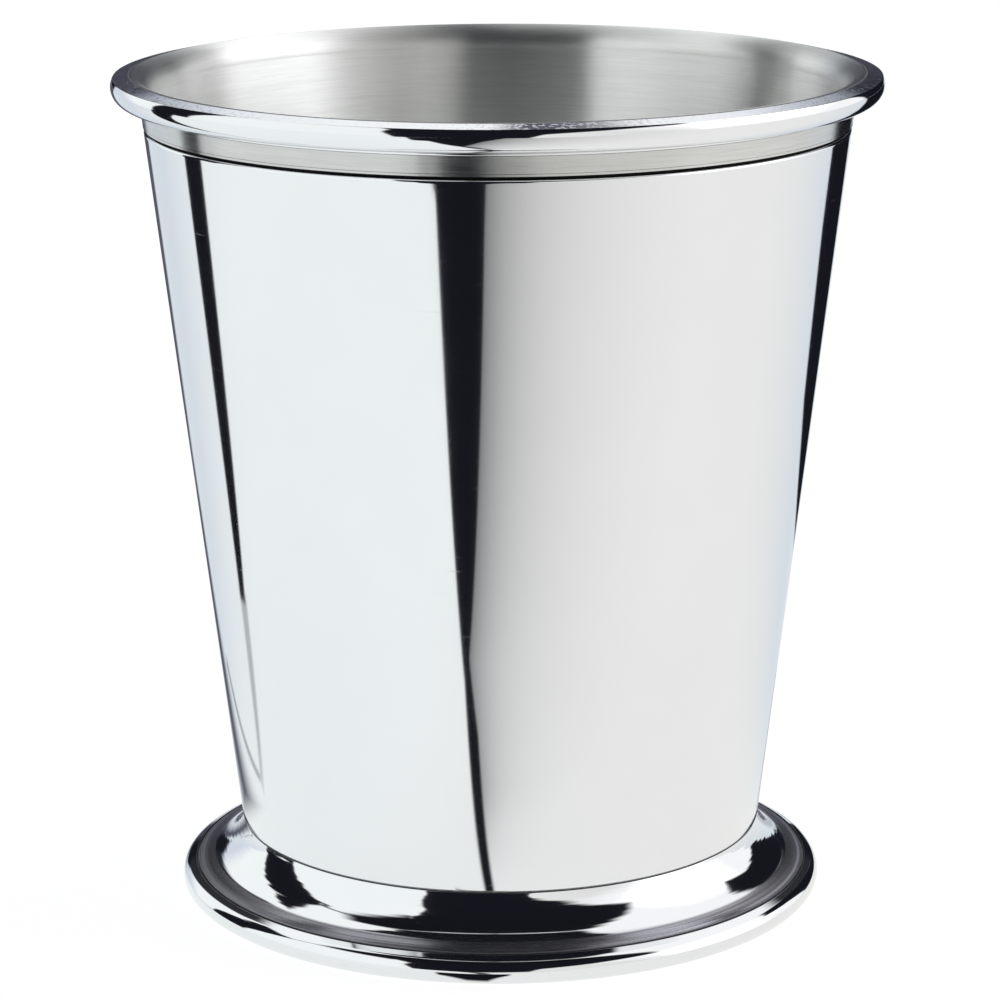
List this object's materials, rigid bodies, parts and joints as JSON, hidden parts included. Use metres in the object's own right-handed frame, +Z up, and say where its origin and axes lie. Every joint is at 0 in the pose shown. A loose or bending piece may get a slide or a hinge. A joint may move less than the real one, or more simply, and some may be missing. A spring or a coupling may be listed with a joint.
{
  "type": "julep cup",
  "caption": "Footed metal julep cup: a tapered polished beaker with a half-round rim bead, a satin collar band and a spread hollow foot with a beaded edge.",
  "frame": {"origin": "centre of the circle on which the foot rests", "axes": "+Z up along the cup's axis, towards the mouth; X and Y lie in the table plane and the cup is round about Z"},
  "size_m": [0.0898, 0.0898, 0.0988],
  "materials": {
    "polished_pewter": "mirror polished",
    "satin_pewter": "satin, with fine lines round the cup",
    "pewter_solder": "bright solder, polished flush"
  },
  "bodies": {
    "root": {"body_shell": "polished_pewter", "rim_bead": "polished_pewter", "rim_bead_solder": "pewter_solder", "collar_band": "satin_pewter", "collar_solder": "pewter_solder", "foot_ring": "polished_pewter", "foot_solder": "pewter_solder", "foot_bead": "polished_pewter", "foot_bead_solder": "pewter_solder"}
  },
  "joints": []
}
